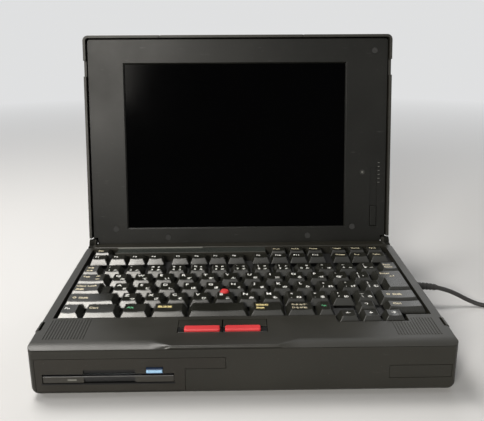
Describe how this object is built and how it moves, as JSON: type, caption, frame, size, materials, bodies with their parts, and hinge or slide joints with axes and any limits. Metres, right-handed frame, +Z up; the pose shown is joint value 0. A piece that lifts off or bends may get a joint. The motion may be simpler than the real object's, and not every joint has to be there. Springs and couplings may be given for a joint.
{
  "type": "laptop computer",
  "caption": "Portable computer with a hinged lid, a keyboard deck that lifts, sprung keys, a floppy drive and a power lead.",
  "frame": {"origin": "on the table, under the middle of the open machine without its lead", "axes": "+X to the user's right, +Y away from the user, +Z up"},
  "size_m": [0.5304, 0.2512, 0.2392],
  "materials": {
    "case_black": "fine-grained matte, slightly worn",
    "deck_black": "fine-grained matte with polished palm rest",
    "bezel_black": "satin with scuffs",
    "key_black": "satin, polished on the worn keys",
    "rubber_red": "matte, grippy",
    "bar_red": "satin",
    "eject_blue": "matte",
    "display_grey": "smooth window",
    "screen_black": "unlit screen",
    "plate_metal": "blackened sheet",
    "frame_metal": "pressed sheet",
    "drive_metal": "pressed sheet",
    "port_metal": "plated",
    "screw_steel": "blackened",
    "board_green": "solder mask",
    "rubber_black": "matte",
    "cord_black": "smooth jacket"
  },
  "bodies": {
    "base": {"base_cover": "case_black", "floppy_drive": "drive_metal", "floppy_bezel": "case_black", "battery_pack": "case_black", "hard_disk_pack": "drive_metal", "system_board": "board_green", "board_shield": "drive_metal", "rear_ports": "port_metal", "power_jack": "port_metal", "rubber_feet": "rubber_black", "case_screws": "screw_steel", "hinge_covers": "case_black", "dc_plug": "cord_black", "strain_relief": "cord_black", "power_cord": "cord_black", "power_cord_coil": "cord_black", "power_cord_tail": "cord_black", "power_cord_connector": "cord_black"},
    "flap": {"floppy_flap": "case_black"},
    "eject": {"eject_button": "eject_blue"},
    "rear_door": {"rear_port_door": "case_black"},
    "switch": {"power_switch": "case_black"},
    "latch_left": {"lid_latch_left": "case_black"},
    "latch_right": {"lid_latch_right": "case_black"},
    "deck": {"deck_frame": "deck_black", "keyboard_plate": "plate_metal", "status_display": "display_grey", "pointing_stick_post": "case_black", "pointing_stick_cap": "rubber_red"},
    "click_left": {"click_button_left": "deck_black", "click_bar_left": "bar_red"},
    "click_right": {"click_button_right": "deck_black", "click_bar_right": "bar_red"},
    "lid": {"lid_cover": "case_black", "display_bezel": "bezel_black", "bezel_screw_caps": "rubber_black", "lcd_panel": "screen_black", "lcd_frame": "frame_metal", "backlight_board": "board_green", "hinge_brackets": "screw_steel"},
    "brightness": {"brightness_slider": "bezel_black"},
    "key_escape": {"key_escape": "key_black"},
    "keys_function": {"keys_function": "key_black"},
    "keys_navigation": {"keys_navigation": "key_black"},
    "keys_number_row": {"keys_number_row": "key_black"},
    "key_tab": {"key_tab": "key_black"},
    "keys_upper_letters": {"keys_upper_letters": "key_black"},
    "key_return": {"key_return": "key_black"},
    "key_caps_lock": {"key_caps_lock": "key_black"},
    "keys_home_letters": {"keys_home_letters": "key_black"},
    "key_shift_left": {"key_shift_left": "key_black"},
    "keys_lower_letters": {"keys_lower_letters": "key_black"},
    "key_shift_right": {"key_shift_right": "key_black"},
    "keys_bottom_row": {"keys_bottom_row": "key_black"},
    "key_space": {"key_space": "key_black"},
    "key_control_right": {"key_control_right": "key_black"},
    "key_arrow_up": {"key_arrow_up": "key_black"},
    "key_arrow_left": {"key_arrow_left": "key_black"},
    "key_arrow_down": {"key_arrow_down": "key_black"},
    "key_arrow_right": {"key_arrow_right": "key_black"}
  },
  "joints": [
    {"name": "lid_hinge", "type": "hinge", "parent": "base", "child": "lid", "pos_m": [0, 0.07553, 0.041], "axis": [-1, 0, 0], "range_deg": [-99.5, 30.5]},
    {"name": "deck_hinge", "type": "hinge", "parent": "base", "child": "deck", "pos_m": [0, 0.07553, 0.041], "axis": [-1, 0, 0], "range_deg": [0, 45]},
    {"name": "flap_hinge", "type": "hinge", "parent": "base", "child": "flap", "pos_m": [-0.094, -0.12317, 0.0167], "axis": [1, 0, 0], "range_deg": [0, 80], "stiffness_Nm_per_rad": 0.0008, "springref_deg": -22.92},
    {"name": "eject_press", "type": "slide", "parent": "base", "child": "eject", "axis": [0, 1, 0], "range_m": [0, 0.0026], "stiffness_N_per_m": 300, "springref_m": -0.001},
    {"name": "rear_door_hinge", "type": "hinge", "parent": "base", "child": "rear_door", "pos_m": [0, 0.08543, 0.0091], "axis": [-1, 0, 0], "range_deg": [0, 85]},
    {"name": "switch_slide", "type": "slide", "parent": "base", "child": "switch", "axis": [0, 1, 0], "range_m": [0, 0.004]},
    {"name": "latch_left_press", "type": "slide", "parent": "base", "child": "latch_left", "axis": [1, 0, 0], "range_m": [0, 0.0012], "stiffness_N_per_m": 400, "springref_m": -0.001},
    {"name": "latch_right_press", "type": "slide", "parent": "base", "child": "latch_right", "axis": [-1, 0, 0], "range_m": [0, 0.0012], "stiffness_N_per_m": 400, "springref_m": -0.001},
    {"name": "click_left_press", "type": "slide", "parent": "deck", "child": "click_left", "axis": [0, 0, -1], "range_m": [0, 0.0008], "stiffness_N_per_m": 600, "springref_m": -0.001},
    {"name": "click_right_press", "type": "slide", "parent": "deck", "child": "click_right", "axis": [0, 0, -1], "range_m": [0, 0.0008], "stiffness_N_per_m": 600, "springref_m": -0.001},
    {"name": "brightness_slide", "type": "slide", "parent": "lid", "child": "brightness", "axis": [0, 0.165, 0.9863], "range_m": [0, 0.0382]},
    {"name": "key_escape_press", "type": "slide", "parent": "deck", "child": "key_escape", "axis": [0, 0, -1], "range_m": [0, 0.0024], "stiffness_N_per_m": 250, "springref_m": -0.002},
    {"name": "keys_function_press", "type": "slide", "parent": "deck", "child": "keys_function", "axis": [0, 0, -1], "range_m": [0, 0.0024], "stiffness_N_per_m": 250, "springref_m": -0.002},
    {"name": "keys_navigation_press", "type": "slide", "parent": "deck", "child": "keys_navigation", "axis": [0, 0, -1], "range_m": [0, 0.0024], "stiffness_N_per_m": 250, "springref_m": -0.002},
    {"name": "keys_number_row_press", "type": "slide", "parent": "deck", "child": "keys_number_row", "axis": [0, 0, -1], "range_m": [0, 0.0024], "stiffness_N_per_m": 250, "springref_m": -0.002},
    {"name": "key_tab_press", "type": "slide", "parent": "deck", "child": "key_tab", "axis": [0, 0, -1], "range_m": [0, 0.0024], "stiffness_N_per_m": 250, "springref_m": -0.002},
    {"name": "keys_upper_letters_press", "type": "slide", "parent": "deck", "child": "keys_upper_letters", "axis": [0, 0, -1], "range_m": [0, 0.0024], "stiffness_N_per_m": 250, "springref_m": -0.002},
    {"name": "key_return_press", "type": "slide", "parent": "deck", "child": "key_return", "axis": [0, 0, -1], "range_m": [0, 0.0024], "stiffness_N_per_m": 250, "springref_m": -0.002},
    {"name": "key_caps_lock_press", "type": "slide", "parent": "deck", "child": "key_caps_lock", "axis": [0, 0, -1], "range_m": [0, 0.0024], "stiffness_N_per_m": 250, "springref_m": -0.002},
    {"name": "keys_home_letters_press", "type": "slide", "parent": "deck", "child": "keys_home_letters", "axis": [0, 0, -1], "range_m": [0, 0.0024], "stiffness_N_per_m": 250, "springref_m": -0.002},
    {"name": "key_shift_left_press", "type": "slide", "parent": "deck", "child": "key_shift_left", "axis": [0, 0, -1], "range_m": [0, 0.0024], "stiffness_N_per_m": 250, "springref_m": -0.002},
    {"name": "keys_lower_letters_press", "type": "slide", "parent": "deck", "child": "keys_lower_letters", "axis": [0, 0, -1], "range_m": [0, 0.0024], "stiffness_N_per_m": 250, "springref_m": -0.002},
    {"name": "key_shift_right_press", "type": "slide", "parent": "deck", "child": "key_shift_right", "axis": [0, 0, -1], "range_m": [0, 0.0024], "stiffness_N_per_m": 250, "springref_m": -0.002},
    {"name": "keys_bottom_row_press", "type": "slide", "parent": "deck", "child": "keys_bottom_row", "axis": [0, 0, -1], "range_m": [0, 0.0024], "stiffness_N_per_m": 250, "springref_m": -0.002},
    {"name": "key_space_press", "type": "slide", "parent": "deck", "child": "key_space", "axis": [0, 0, -1], "range_m": [0, 0.0024], "stiffness_N_per_m": 250, "springref_m": -0.002},
    {"name": "key_control_right_press", "type": "slide", "parent": "deck", "child": "key_control_right", "axis": [0, 0, -1], "range_m": [0, 0.0024], "stiffness_N_per_m": 250, "springref_m": -0.002},
    {"name": "key_arrow_up_press", "type": "slide", "parent": "deck", "child": "key_arrow_up", "axis": [0, 0, -1], "range_m": [0, 0.0024], "stiffness_N_per_m": 250, "springref_m": -0.002},
    {"name": "key_arrow_left_press", "type": "slide", "parent": "deck", "child": "key_arrow_left", "axis": [0, 0, -1], "range_m": [0, 0.0024], "stiffness_N_per_m": 250, "springref_m": -0.002},
    {"name": "key_arrow_down_press", "type": "slide", "parent": "deck", "child": "key_arrow_down", "axis": [0, 0, -1], "range_m": [0, 0.0024], "stiffness_N_per_m": 250, "springref_m": -0.002},
    {"name": "key_arrow_right_press", "type": "slide", "parent": "deck", "child": "key_arrow_right", "axis": [0, 0, -1], "range_m": [0, 0.0024], "stiffness_N_per_m": 250, "springref_m": -0.002}
  ]
}
